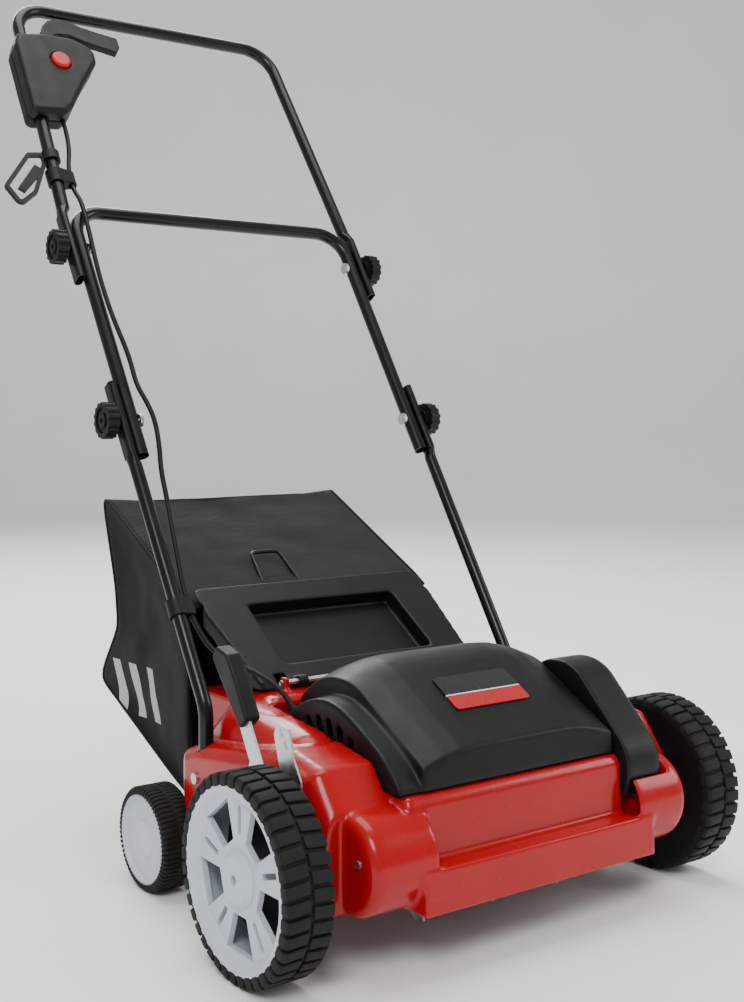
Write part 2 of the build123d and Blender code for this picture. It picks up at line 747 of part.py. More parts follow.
def flat_end(side, joint, up, round_end, radius, inset):
    """A tube's flattened stretch at a joint and its change to round at the plane round_end."""
    near = joint - up * FLAT_HALF - up * (5 if inset else 0)
    far = joint + up * FLAT_HALF
    with BuildPart() as solid:
        with BuildSketch(across(near)):
            with Locations((side * OUTER_X, 0)):
                SlotOverall(OVAL[1] - 2 * inset, OVAL[0] - 2 * inset, rotation=90)
        extrude(amount=-(far - near))
        with BuildSketch(across(far)) as flat:
            with Locations((side * OUTER_X, 0)):
                Ellipse(OVAL[0] / 2 - inset, OVAL[1] / 2 - inset)
        with BuildSketch(round_end) as full:
            Circle(radius - inset)
        loft([flat.sketch, full.sketch])
    return solid.part


def lower_leg(side, inset):
    """The round stretch of a lower tube, bent upright into the housing."""
    foot_along = (LEG_FOOT_Y - JOINT_Y) / cos(radians(SLOPE))
    start = on_handle(side * LOWER_X, -FLAT_END)
    bend = on_handle(side * LOWER_X, foot_along)
    foot = Vector(side * LOWER_X, LEG_FOOT_Y, LEG_FOOT_Z - (5 if inset else 0))
    with BuildPart() as solid:
        with BuildLine() as path:
            FilletPolyline(start, bend, foot, radius=LEG_BEND_R)
        with BuildSketch(across(-FLAT_END)):
            with Locations((side * LOWER_X, 0)):
                Circle(LOWER_TUBE_R - inset)
        sweep(path=path.wire())
    return solid.part


def loop_tube(corners, corner_r, radius, inset):
    """A tube bent into a loop in the handle's plane."""
    with BuildPart() as solid:
        with BuildLine() as path:
            FilletPolyline(*[on_handle(x, along) for x, along in corners], radius=corner_r)
        with BuildSketch(Plane(origin=path.wire() @ 0, z_dir=path.wire() % 0)):
            Circle(radius - inset)
        sweep(path=path.wire())
    return solid.part


def bolt_hole(side, along, radius):
    """A cylinder along X through one joint of the handle."""
    centre = on_handle(0, along)
    low, high = sorted((side * 180.0, side * 260.0))
    return disc((low, high), centre.Y, centre.Z, radius)


for side, hand in ((-1, "right"), (1, "left")):
    with BuildPart() as handle_lower:
        for inset, mode in ((0, Mode.ADD), (TUBE_WALL, Mode.SUBTRACT)):
            start = Plane(origin=on_handle(side * LOWER_X, -FLAT_END), z_dir=DOWN_HANDLE)
            add(flat_end(side, 0, -1, start, LOWER_TUBE_R, inset), mode=mode)
            add(lower_leg(side, inset), mode=mode)
        add(bolt_hole(side, 0, BOLT_R + FIT), mode=Mode.SUBTRACT)
        add(disc((-240, 240), LEG_FOOT_Y, 140, BOLT_R), mode=Mode.SUBTRACT)
    finish(handle_lower.part, f"handle_lower_{hand}")

with BuildPart() as deck_bolts:
    for side in (-1, 1):
        low, high = sorted((side * (NOSE_HALF - 8), side * (NOSE_HALF + 1.5)))
        add(disc((low, high), SCREW_Y, SCREW_Z, SCREW_R))
        low, high = sorted((side * NOSE_HALF, side * (NOSE_HALF + 1.5)))
        add(disc((low, high), SCREW_Y, SCREW_Z, 4.5))
        low, high = sorted((side * 207.0, side * WING_HALF))
        add(disc((low, high), LEG_FOOT_Y, 140, BOLT_R))
        low, high = sorted((side * WING_HALF, side * (WING_HALF + 3)))
        add(disc((low, high), LEG_FOOT_Y, 140, 6))
finish(deck_bolts.part, "deck_bolts")

MID_CORNERS = [(-MID_X, -FLAT_HALF), (-MID_X, MID_BAR_AT), (MID_X, MID_BAR_AT), (MID_X, -FLAT_HALF)]
with BuildPart() as handle_mid:
    add(loop_tube(MID_CORNERS, MID_BAR_R, TUBE_R, 0))
    add(loop_tube(MID_CORNERS, MID_BAR_R, TUBE_R, TUBE_WALL), mode=Mode.SUBTRACT)
    for side in (-1, 1):
        for along in (0, JOINT_STEP):
            add(bolt_hole(side, along, BOLT_R + FIT), mode=Mode.SUBTRACT)
finish(handle_mid.part, "handle_mid")

HEAD_FACE = MID_X - TUBE_R  # where a bolt's head meets the middle tube
with BuildPart() as carriage_bolts:
    for side in (-1, 1):
        for along in (0, JOINT_STEP):
            centre = on_handle(0, along)
            low, high = sorted((side * (HEAD_FACE - 1), side * 243.0))
            add(disc((low, high), centre.Y, centre.Z, BOLT_R))
            low, high = sorted((side * (HEAD_FACE - 4), side * HEAD_FACE))
            add(disc((low, high), centre.Y, centre.Z, 8))
finish(carriage_bolts.part, "carriage_bolts")

TOP_START = JOINT_STEP + FLAT_END
UPPER_CORNERS = [
    (-UPPER_X, TOP_START), (-UPPER_BAR_X, BAR_AT), (UPPER_BAR_X, BAR_AT), (UPPER_X, TOP_START),
]
with BuildPart() as handle_upper:
    for inset, mode in ((0, Mode.ADD), (TUBE_WALL, Mode.SUBTRACT)):
        add(loop_tube(UPPER_CORNERS, BAR_R, TUBE_R, inset), mode=mode)
        for side in (-1, 1):
            start = on_handle(side * UPPER_X, TOP_START)
            leg = on_handle(side * UPPER_BAR_X, BAR_AT) - start
            add(flat_end(side, JOINT_STEP, 1, Plane(origin=start, z_dir=leg), TUBE_R, inset), mode=mode)
    for side in (-1, 1):
        add(bolt_hole(side, JOINT_STEP, BOLT_R + FIT), mode=Mode.SUBTRACT)
finish(handle_upper.part, "handle_upper")

# Knobs: a scalloped wheel on a hub, with the bolt's end showing
KNOB_R = 21.75
KNOB_IN = OUTER_X + OVAL[0] / 2 + GAP
KNOB_BACK = 232.0
KNOB_FACE = 246.0
for side, hand in ((-1, "right"), (1, "left")):
    for along, level in ((0, "lower"), (JOINT_STEP, "upper")):
        centre = on_handle(0, along)
        with BuildPart() as knob:
            with BuildSketch(Plane.YZ.offset(side * KNOB_BACK)):
                with Locations((centre.Y, centre.Z)):
                    Circle(KNOB_R)
                    with PolarLocations(KNOB_R + 2.2, 14):
                        Circle(4, mode=Mode.SUBTRACT)
            extrude(amount=side * (KNOB_FACE - KNOB_BACK))
            with BuildSketch(Plane.YZ.offset(side * KNOB_IN)):
                with Locations((centre.Y, centre.Z)):
                    Circle(12)
            extrude(amount=side * (KNOB_BACK - KNOB_IN))
            with BuildSketch(Plane.YZ.offset(side * (KNOB_FACE - 2))):
                with Locations((centre.Y, centre.Z)):
                    Circle(15.5)
                    Circle(9, mode=Mode.SUBTRACT)
            extrude(amount=side * 3, mode=Mode.SUBTRACT)
            add(bolt_hole(side, along, BOLT_R + FIT), mode=Mode.SUBTRACT)
        finish(knob.part, f"knob_{level}_{hand}")


# ---------------------------------------------------------------- switch
def above(points):
    """Handle-plane points whose second value is measured from the upper joint."""
    return [(x, along + JOINT_STEP) for x, along in points]


BOX_OUTLINE = [
    (-219.5, 350), (-226, 330), (-228, 216), (-221, 211), (-180, 215), (-167, 229), (-141, 274),
    (-112, 318), (-111, 336), (-117, 346), (-140, 357), (-182, 357),
]
BOX_HALF = 20.0
BOX_WALL = 2.5
LEVER_PIVOT = (-170.0, 342.0)
LEVER_HALF = 5.0
BUTTON_AT = (-167.6, 308.0)
BUTTON_R = 13.5
INLET_AT = (-174.0, 268.0)
INLET_PITCH = 19.0
PIN_R = 2.4
PIN_LENGTH = 19.0
PIN_ROOT_R = 1.8  # thinner root, held in the socket's floor
PIN_ROOT = 4.0
PIN_BASE = -14.0


def box_half(front):
    """One half of the switch box round the right leg, split at the handle's plane."""
    sign = 1 if front else -1
    with BuildPart() as shell:
        with BuildSketch(HANDLE) as outline:
            Polygon(*above(BOX_OUTLINE), align=None)
            fillet(outline.vertices(), radius=5)
        extrude(amount=sign * BOX_HALF)
        ends = shell.faces().sort_by(HANDLE_AXIS)
        chamfer(ends[-1 if front else 0].edges(), length=4)
        with BuildSketch(HANDLE):
            Polygon(*above(BOX_OUTLINE), align=None)
            offset(amount=-BOX_WALL - 1.5, kind=Kind.INTERSECTION)
            with Locations((-250, JOINT_STEP + 280)):
                Rectangle(108, 400, mode=Mode.SUBTRACT)
        extrude(amount=sign * (BOX_HALF - BOX_WALL), mode=Mode.SUBTRACT)
        add(loop_tube(UPPER_CORNERS, BAR_R, TUBE_R, 0), mode=Mode.SUBTRACT)
        with BuildSketch(HANDLE):
            with Locations((LEVER_PIVOT[0], LEVER_PIVOT[1] + JOINT_STEP + 12)):
                Rectangle(26, 26)
        extrude(amount=sign * (LEVER_HALF + GAP), mode=Mode.SUBTRACT)
        with BuildSketch(across(JOINT_STEP + 225)):
            with Locations((-180, 0)):
                Circle(CABLE_R)
        extrude(amount=30, mode=Mode.SUBTRACT)
    return shell.part


with BuildPart() as switch_box_front:
    add(box_half(True))
    with BuildSketch(HANDLE):
        with Locations((BUTTON_AT[0], BUTTON_AT[1] + JOINT_STEP)):
            Circle(BUTTON_R + GAP)
    extrude(amount=BOX_HALF + 5, mode=Mode.SUBTRACT)
finish(switch_box_front.part, "switch_box_front")

INLET_WALL = 2.0
INLET_END = -40.0
with BuildPart() as switch_box_rear:
    add(box_half(False))
    with BuildSketch(HANDLE.offset(PIN_BASE)):
        with Locations((INLET_AT[0], INLET_AT[1] + JOINT_STEP)):
            RectangleRounded(38, 26, 8)
    extrude(amount=INLET_END - PIN_BASE)
    with BuildSketch(HANDLE.offset(PIN_BASE - 3)):
        with Locations((INLET_AT[0], INLET_AT[1] + JOINT_STEP)):
            RectangleRounded(38 - 2 * INLET_WALL, 26 - 2 * INLET_WALL, 6)
    extrude(amount=INLET_END - PIN_BASE, mode=Mode.SUBTRACT)
    with BuildSketch(HANDLE.offset(PIN_BASE + 1)):
        with Locations((INLET_AT[0], INLET_AT[1] + JOINT_STEP)):
            with GridLocations(INLET_PITCH, 1, 2, 1):
                Circle(PIN_ROOT_R)
    extrude(amount=-2 * PIN_ROOT, mode=Mode.SUBTRACT)
    with BuildSketch(HANDLE.offset(-BOX_HALF + 1)):
        with Locations((LEVER_PIVOT[0], LEVER_PIVOT[1] + JOINT_STEP)):
            Circle(BOLT_R)
    extrude(amount=2 * BOX_HALF - 6)
finish(switch_box_rear.part, "switch_box_rear")

with BuildPart() as microswitch:
    with BuildSketch(HANDLE.offset(-12)):
        with Locations((-168, JOINT_STEP + 312)):
            Rectangle(28, 16)
    extrude(amount=14)
finish(microswitch.part, "microswitch")

with BuildPart() as inlet_pins:
    with BuildSketch(HANDLE.offset(PIN_BASE + 1)):
        with Locations((INLET_AT[0], INLET_AT[1] + JOINT_STEP)):
            with GridLocations(INLET_PITCH, 1, 2, 1):
                Circle(PIN_ROOT_R)
    extrude(amount=-PIN_ROOT)
    with BuildSketch(HANDLE.offset(PIN_BASE + 1 - PIN_ROOT)):
        with Locations((INLET_AT[0], INLET_AT[1] + JOINT_STEP)):
            with GridLocations(INLET_PITCH, 1, 2, 1):
                Circle(PIN_R)
    extrude(amount=-PIN_LENGTH)
finish(inlet_pins.part, "inlet_pins")

LEVER_OUTER = [
    (-176, 348), (-177, 373), (-171, 387), (-161, 399), (-144, 406.5), (-130, 405), (-112, 398),
    (-89, 393), (-59, 388), (-59, 370), (-66, 358), (-82, 362), (-107, 367), (-135, 377), (-152, 375),
    (-163, 366), (-164, 348),
]
with BuildPart() as switch_lever:
    with BuildSketch(HANDLE.offset(-LEVER_HALF)) as profile:
        Polygon(*above(LEVER_OUTER), align=None)
        fillet(profile.vertices().sort_by(Axis.Y)[3:], radius=2.5)
        with Locations((LEVER_PIVOT[0], LEVER_PIVOT[1] + JOINT_STEP)):
            Circle(9)
            Circle(BOLT_R + FIT, mode=Mode.SUBTRACT)
    extrude(amount=2 * LEVER_HALF)
finish(switch_lever.part, "switch_lever")

with BuildPart() as lock_button:
    with BuildSketch(HANDLE.offset(11)):
        with Locations((BUTTON_AT[0], BUTTON_AT[1] + JOINT_STEP)):
            Circle(BUTTON_R)
    extrude(amount=13)
    fillet(lock_button.faces().sort_by(HANDLE_AXIS)[-1].edges(), radius=3.5)
    with BuildSketch(HANDLE.offset(8)):
        with Locations((BUTTON_AT[0], BUTTON_AT[1] + JOINT_STEP)):
            Circle(5)
    extrude(amount=4)
finish(lock_button.part, "lock_button")

# Cord hook: a ring that swivels on the right leg and a loop with an inner tongue
HOOK_AT = 147.0
LEG_DIRECTION = (on_handle(-UPPER_BAR_X, BAR_AT) - on_handle(-UPPER_X, TOP_START)).normalized()
hook_centre = on_handle(-leg_x(HOOK_AT), HOOK_AT + JOINT_STEP)
HOOK_OUTLINE = [(-220, 154), (-246, 150), (-288, 92), (-273, 60), (-246, 84), (-222, 136)]
HOOK_TONGUE = [(-240, 131), (-229, 123), (-262, 84), (-270, 90)]
with BuildPart() as cord_hook:
    with BuildSketch(HANDLE.offset(-2.5)) as profile:
        Polygon(*above(HOOK_OUTLINE), align=None)
        fillet(profile.vertices(), radius=8)
        offset(amount=-5.5, mode=Mode.SUBTRACT)
        Polygon(*above(HOOK_TONGUE), align=None)
    extrude(amount=5)
    with BuildSketch(Plane(origin=hook_centre, z_dir=LEG_DIRECTION)):
        Circle(TUBE_R + 3.4)
    extrude(amount=7, both=True)
    with BuildSketch(Plane(origin=hook_centre, z_dir=LEG_DIRECTION)):
        Circle(TUBE_R + FIT)
    extrude(amount=25, both=True, mode=Mode.SUBTRACT)
finish(cord_hook.part, "cord_hook")


# ---------------------------------------------------------------- cable
# Route from the switch box down the right leg: (x, above the upper joint, off the plane)
LEG_ROUTE = [
    (-180, 222, 0), (-180, 196, 0), (-184, 165, 1), (-193.5, 130, 0), (-196, 96, 2), (-195.5, 68, 13),
    (-198, 23, 15), (-201, -22, 15), (-202, -64, 14), (-201, -117, 15), (-192, -168, 11),
    (-195, -213, 13), (-189, -239, 15), (-185, -264, 14), (-186.5, -295, 10), (-192, -328, 6),
    (-194, -360, 5), (-198, -398, 4), (-202, -441, 3), (-205, -482, 0), (-204, -522, 1),
]
# then over the housing to the motor cover: (x, behind the front axle, height)
HOUSING_ROUTE = [(-192, 230, 268), (-175, 204, 256), (-160, 176, 246), CABLE_LAST, CABLE_END]
JOIN_AFTER = (5, 11)  # the runs in whose middle the cable's pieces meet

route = [on_handle(x, along + JOINT_STEP, off) for x, along, off in LEG_ROUTE]
route += [Vector(x, back(y), z) for x, y, z in HOUSING_ROUTE]


def bend_radii(points):
    """The largest radius at each corner that its two runs allow."""
    radii = []
    for before, corner, after in zip(points, points[1:], points[2:]):
        turn = radians((corner - before).get_angle(after - corner))
        shorter = min((corner - before).length, (after - corner).length)
        radii.append(0.45 * shorter / tan(turn / 2))
    return radii


def cable_piece(points, radii, name):
    """A round cable along straight runs joined by tangent arcs."""
    with BuildPart() as piece:
        with BuildLine() as path:
            FilletPolyline(*points, radius=radii)
        with BuildSketch(Plane(origin=path.wire() @ 0, z_dir=path.wire() % 0)):
            Circle(CABLE_R)
        sweep(path=path.wire())
    drawn = piece.part.volume / (pi * CABLE_R**2)
    print(name, "length", round(path.wire().length, 1), "drawn", round(drawn, 1))
    finish(piece.part, name)


corner_radii = bend_radii(route)
print("cable radii", [round(radius) for radius in corner_radii])
joins = [(route[i] + route[i + 1]) / 2 for i in JOIN_AFTER]
first, second = JOIN_AFTER
cable_piece([*route[: first + 1], joins[0]], corner_radii[:first], "cable_upper")
cable_piece([joins[0], *route[first + 1 : second + 1], joins[1]], corner_radii[first:second], "cable_mid")
cable_piece([joins[1], *route[second + 1 :]], corner_radii[second:], "cable_lower")


CLIP_LENGTH = 20.0


def cable_clip(along, tube_x, tube_r, cable_x, name):
    """A strap round a tube of the handle and the cable beside it."""
    with BuildPart() as clip:
        with BuildSketch(across(along + JOINT_STEP + CLIP_LENGTH / 2)):
            with BuildLine():
                CenterArc((tube_x, 0), tube_r + 3, 90, 180)
                CenterArc((cable_x, 0), CABLE_R + 3.5, -90, 180)
            make_hull()
            with Locations((tube_x, 0)):
                Circle(tube_r + 0.5, mode=Mode.SUBTRACT)
            with Locations((cable_x, 0)):
                Circle(CABLE_R + 2, mode=Mode.SUBTRACT)
        extrude(amount=CLIP_LENGTH)
    finish(clip.part, name)


cable_clip(113, -leg_x(113), TUBE_R, -194.8, "cable_clip_upper")
cable_clip(-502, -LOWER_X, LOWER_TUBE_R, -204.5, "cable_clip_lower")

with BuildPart() as cable_gland:
    add(gland_tube(GLAND_R))
    add(gland_tube(CABLE_R), mode=Mode.SUBTRACT)
finish(cable_gland.part, "cable_gland")


# ---------------------------------------------------------------- rear flap
FLAP_SLOPE = 33.5
FLAP_LENGTH = 170.0
FLAP_HALF = (152.0, 166.0)  # at the hinge and at the free edge
FLAP_DEPTH = 22.0
HOOK_X = 100.0
SPRING_X = 50.0
FLAP = Plane(
    origin=(0, FLAP_Y, FLAP_Z),
    x_dir=(1, 0, 0),
    z_dir=(0, -sin(radians(FLAP_SLOPE)), cos(radians(FLAP_SLOPE))),
)


def flap_shape(end, inset):
    """The flap's outline from its hinge edge to a distance up its slope."""
    with BuildSketch(FLAP) as outline:
        Polygon(
            (-FLAP_HALF[0] + inset, inset), (FLAP_HALF[0] - inset, inset),
            (FLAP_HALF[1] - inset, end - inset), (-FLAP_HALF[1] + inset, end - inset),
            align=None,
        )
        fillet(outline.vertices().group_by(Axis.Z)[-1], radius=14 if end == FLAP_LENGTH else 3)
    return outline.sketch


with BuildPart() as rear_flap:
    add(flap_shape(135, 0))
    extrude(amount=-FLAP_DEPTH)
    add(flap_shape(135, WALL))
    extrude(amount=-FLAP_DEPTH - 1, mode=Mode.SUBTRACT)
    add(flap_shape(FLAP_LENGTH, 0))
    extrude(amount=-WALL)
    for inset, mode in ((0, Mode.ADD), (WALL, Mode.SUBTRACT)):
        with BuildSketch(FLAP):
            with Locations((0, 81.5)):
                RectangleRounded(218 - 2 * inset, 109 - 2 * inset, 5)
        extrude(amount=-FLAP_DEPTH + inset, mode=mode)
    for side in (-1, 1):
        with Locations((side * LUG_X, FLAP_Y, FLAP_Z)):
            Box(14, 26, 60, mode=Mode.SUBTRACT)
        low = side * HOOK_X - 6
        add(disc((low, low + 12), FLAP_Y, FLAP_Z, 6.5))
    with Locations((SPRING_X + 5, FLAP_Y, FLAP_Z)):
        Box(18, 17, 60, mode=Mode.SUBTRACT)
    add(disc((-170, 170), FLAP_Y, FLAP_Z, ROD_R + FIT), mode=Mode.SUBTRACT)
    add(block((-180, 180), (170, 262), (200, FLAP_Z - 6.6)), mode=Mode.SUBTRACT)
finish(rear_flap.part, "rear_flap")

with BuildPart() as flap_rod:
    add(disc((-LUG_X - 6, LUG_X + 6), FLAP_Y, FLAP_Z, ROD_R))
finish(flap_rod.part, "flap_rod")

COILS = 8
COIL_PITCH = 1.4
with BuildPart() as flap_spring:
    profile = [(SPRING_X, 4.2)]
    for i in range(COILS):
        profile += [(SPRING_X + i * COIL_PITCH, 5.2), (SPRING_X + (i + 0.5) * COIL_PITCH, 5.9)]
    profile += [(SPRING_X + COILS * COIL_PITCH, 5.2), (SPRING_X + COILS * COIL_PITCH, 4.2)]
    add(ring(1, FLAP_Y, FLAP_Z, profile))
    for x, reach in ((SPRING_X + 1, -1), (SPRING_X + COILS * COIL_PITCH - 1, 1)):
        with Locations((x, FLAP_Y + reach * 8, FLAP_Z - 5)):
            Box(1.6, 16, 1.2)
finish(flap_spring.part, "flap_spring")


# ---------------------------------------------------------------- grass bag
BAG_HALF = 176.0
BAG_WALL = 2.0
BAG_OUTLINE = [
    (319, 82), (368, 100), (560, 181), (554, 198), (506, 258), (513, 310), (544, 406), (547, 425),
    (337, 318), (319, 306),
]
WIRE_R = 3.0
HANDLE_WIRE_R = 2.5


def bag_form(inset):
    """The bag's outer form, or its hollow, open at the front, when inset."""
    with BuildPart() as solid:
        with BuildSketch(Plane.YZ.offset(-BAG_HALF + inset)):
            with BuildLine():
                Polyline(*side_outline(BAG_OUTLINE), close=True)
            make_face()
            if inset:
                offset(amount=-inset, kind=Kind.INTERSECTION)
                with Locations((back(319), 194)):
                    Rectangle(12, 306 - 82 - 2 * inset - 2)
        extrude(amount=2 * (BAG_HALF - inset))
    return solid.part


def bent_wire(points, bend, radius):
    """A round wire along the points, its corners bent to one radius."""
    with BuildPart() as solid:
        with BuildLine() as path:
            FilletPolyline(*[Vector(x, back(y), z) for x, y, z in points], radius=bend)
        with BuildSketch(Plane(origin=path.wire() @ 0, z_dir=path.wire() % 0)):
            Circle(radius)
        sweep(path=path.wire())
    return solid.part


CARRY_POINTS = [(-52, 350, 318), (-45, 394, 355), (-5, 394, 355), (2, 350, 318)]
with BuildPart() as bag_handle:
    add(bent_wire(CARRY_POINTS, 7, HANDLE_WIRE_R))
finish(bag_handle.part, "bag_handle")

FRAME_AT = BAG_HALF - BAG_WALL - WIRE_R
with BuildPart() as bag_frame:
    corners = [
        (0, 326, 87.5), (FRAME_AT, 326, 87.5), (FRAME_AT, 326, 303), (-FRAME_AT, 326, 303),
        (-FRAME_AT, 326, 87.5), (-1, 326, 87.5),
    ]
    add(bent_wire(corners, 12, WIRE_R))
finish(bag_frame.part, "bag_frame")

with BuildPart() as grass_bag:
    add(bag_form(0))
    add(bag_form(BAG_WALL), mode=Mode.SUBTRACT)
    add(bag_frame.part, mode=Mode.SUBTRACT)
    add(bag_handle.part, mode=Mode.SUBTRACT)
finish(grass_bag.part, "grass_bag")
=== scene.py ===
import json
import math

import bmesh
import bpy
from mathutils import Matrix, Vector, noise


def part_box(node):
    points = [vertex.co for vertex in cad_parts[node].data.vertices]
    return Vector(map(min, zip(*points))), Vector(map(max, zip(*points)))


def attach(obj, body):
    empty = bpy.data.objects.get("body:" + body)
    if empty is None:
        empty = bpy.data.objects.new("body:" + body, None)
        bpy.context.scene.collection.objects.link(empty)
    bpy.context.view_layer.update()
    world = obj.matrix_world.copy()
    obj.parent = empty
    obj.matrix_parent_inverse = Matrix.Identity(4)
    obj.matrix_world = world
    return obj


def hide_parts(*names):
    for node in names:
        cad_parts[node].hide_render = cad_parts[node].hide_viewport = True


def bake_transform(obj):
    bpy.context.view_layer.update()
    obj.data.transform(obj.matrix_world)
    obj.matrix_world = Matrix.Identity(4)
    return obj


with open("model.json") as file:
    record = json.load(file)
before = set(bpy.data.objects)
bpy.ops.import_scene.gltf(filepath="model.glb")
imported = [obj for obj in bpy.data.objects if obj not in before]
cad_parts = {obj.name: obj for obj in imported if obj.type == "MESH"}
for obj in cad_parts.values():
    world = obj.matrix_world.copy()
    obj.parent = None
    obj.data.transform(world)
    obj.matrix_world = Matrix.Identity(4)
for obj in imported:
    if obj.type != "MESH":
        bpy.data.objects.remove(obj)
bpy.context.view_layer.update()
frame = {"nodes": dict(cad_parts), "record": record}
nodes = frame["nodes"]

MM = 0.001
AXLE_Y = -330.0  # front wheel centres, in millimetres like every length below
SLOPE = math.radians(57.4)  # handle's angle above the ground
JOINT = (64.5, 523.0)  # lower handle joint: y and height
JOINT_STEP = 255.2  # from the lower joint to the upper one, along the handle


def back(distance):
    """The y of a point that far behind the front axle."""
    return AXLE_Y + distance


def on_handle(x, above, off=0.0):
    """A point of the handle in metres, measured from the upper joint and off the front face."""
    along = above + JOINT_STEP
    y = JOINT[0] + along * math.cos(SLOPE) - off * math.sin(SLOPE)
    z = JOINT[1] + along * math.sin(SLOPE) + off * math.cos(SLOPE)
    return Vector((x, y, z)) * MM


# ---------------------------------------------------------------- camera and light
camera_data = bpy.data.cameras.new("camera")
camera_data.lens = 47.47
camera_data.sensor_width = 36.0
camera = bpy.data.objects.new("camera", camera_data)
camera.location = (-0.8988, -1.3755, 0.5345)
camera.rotation_euler = (math.radians(90 - 3.91), 0, math.radians(-35.94))
bpy.context.collection.objects.link(camera)
bpy.context.scene.camera = camera


def area_light(name, place, target, size, power):
    """A soft rectangular light that looks at a point."""
    data = bpy.data.lights.new(name, "AREA")
    data.shape = "RECTANGLE"
    data.size, data.size_y = size
    data.energy = power
    lamp = bpy.data.objects.new(name, data)
    lamp.location = place
    lamp.rotation_euler = (Vector(target) - Vector(place)).to_track_quat("-Z", "Y").to_euler()
    bpy.context.collection.objects.link(lamp)


MIDDLE = (0, 0, 0.4)
area_light("key", (-2.2, -2.6, 3.2), MIDDLE, (1.6, 1.6), 95)
area_light("fill", (2.8, -1.8, 1.8), MIDDLE, (1.4, 1.4), 34)
area_light("rim", (0.8, 3.0, 2.6), MIDDLE, (2.2, 1.2), 90)
area_light("top", (0, 0.3, 3.4), MIDDLE, (2.4, 2.4), 80)

world = bpy.data.worlds.new("studio")
world.use_nodes = True
world.node_tree.nodes["Background"].inputs["Color"].default_value = (1, 1, 1, 1)
world.node_tree.nodes["Background"].inputs["Strength"].default_value = 0.5
bpy.context.scene.world = world


# ---------------------------------------------------------------- material helpers
def new_material(name):
    """A node material and its shader."""
    made = bpy.data.materials.new(name)
    made.use_nodes = True
    return made, made.node_tree, made.node_tree.nodes["Principled BSDF"]


def add_noise(tree, scale, detail=4.0, stretch=(1, 1, 1)):
    """Noise in the object's own metres."""
    place = tree.nodes.new("ShaderNodeTexCoord")
    mapping = tree.nodes.new("ShaderNodeMapping")
    mapping.inputs["Scale"].default_value = stretch
    texture = tree.nodes.new("ShaderNodeTexNoise")
    texture.inputs["Scale"].default_value = scale
    texture.inputs["Detail"].default_value = detail
    tree.links.new(place.outputs["Object"], mapping.inputs["Vector"])
    tree.links.new(mapping.outputs["Vector"], texture.inputs["Vector"])
    return texture.outputs["Fac"]


def add_ramp(tree, factor, stops):
    """A colour ramp of (position, colour) stops."""
    ramp = tree.nodes.new("ShaderNodeValToRGB")
    ramp.color_ramp.elements[0].position, ramp.color_ramp.elements[1].position = stops[0][0], stops[-1][0]
    ramp.color_ramp.elements[0].color = (*stops[0][1], 1)
    ramp.color_ramp.elements[1].color = (*stops[-1][1], 1)
    for position, colour in stops[1:-1]:
        ramp.color_ramp.elements.new(position).color = (*colour, 1)
    tree.links.new(factor, ramp.inputs["Fac"])
    return ramp.outputs["Color"]


def add_range(tree, factor, low, high):
    """The factor stretched from 0..1 to low..high."""
    mapped = tree.nodes.new("ShaderNodeMapRange")
    mapped.inputs["From Min"].default_value = 0.3
    mapped.inputs["From Max"].default_value = 0.7
    mapped.inputs["To Min"].default_value = low
    mapped.inputs["To Max"].default_value = high
    tree.links.new(factor, mapped.inputs["Value"])
    return mapped.outputs["Result"]


def add_bump(tree, shader, height, strength, distance):
    """A bump of that height in metres on the shader."""
    bump = tree.nodes.new("ShaderNodeBump")
    bump.inputs["Strength"].default_value = strength
    bump.inputs["Distance"].default_value = distance
    tree.links.new(height, bump.inputs["Height"])
    tree.links.new(bump.outputs["Normal"], shader.inputs["Normal"])


def add_math(tree, operation, first, second=0.0):
    """One arithmetic node; either input may be a number or an output."""
    node = tree.nodes.new("ShaderNodeMath")
    node.operation = operation
    for value, socket in ((first, node.inputs[0]), (second, node.inputs[1])):
        if isinstance(value, (int, float)):
            socket.default_value = value
        else:
            tree.links.new(value, socket)
    return node.outputs[0]


def add_mix(tree, factor, first, second):
    """Two colours mixed by a factor; a colour may be a tuple or an output."""
    mix = tree.nodes.new("ShaderNodeMix")
    mix.data_type = "RGBA"
    tree.links.new(factor, mix.inputs["Factor"])
    for value, socket in ((first, mix.inputs["A"]), (second, mix.inputs["B"])):
        if isinstance(value, tuple):
            socket.default_value = (*value, 1)
        else:
            tree.links.new(value, socket)
    return mix.outputs["Result"]


def add_place(tree):
    """Separate x, y and z in the object's metres."""
    place = tree.nodes.new("ShaderNodeTexCoord")
    split = tree.nodes.new("ShaderNodeSeparateXYZ")
    tree.links.new(place.outputs["Object"], split.inputs["Vector"])
    return split.outputs


def moulded(name, dark, light, rough, grain, grain_depth, gloss=0.0):
    """Moulded plastic or enamel: mottled colour, uneven gloss, fine grain."""
    made, tree, shader = new_material(name)
    broad = add_noise(tree, 14, 3)
    tree.links.new(add_ramp(tree, broad, [(0.3, dark), (0.7, light)]), shader.inputs["Base Color"])
    smudge = add_noise(tree, 45, 6)
    tree.links.new(add_range(tree, smudge, rough - 0.05, rough + 0.07), shader.inputs["Roughness"])
    add_bump(tree, shader, add_noise(tree, grain, 2), 0.6, grain_depth)
    shader.inputs["Specular IOR Level"].default_value = 0.22
    shader.inputs["Coat Weight"].default_value = gloss
    shader.inputs["Coat Roughness"].default_value = 0.12
    return made


def metal(name, dark, light, rough, stretch=(1, 1, 1)):
    """Plated or bright steel with a streaky finish."""
    made, tree, shader = new_material(name)
    streaks = add_noise(tree, 260, 5, stretch)
    tree.links.new(add_ramp(tree, streaks, [(0.3, dark), (0.7, light)]), shader.inputs["Base Color"])
    tree.links.new(add_range(tree, streaks, rough - 0.08, rough + 0.1), shader.inputs["Roughness"])
    add_bump(tree, shader, streaks, 0.25, 0.0002)
    shader.inputs["Metallic"].default_value = 1.0
    return made


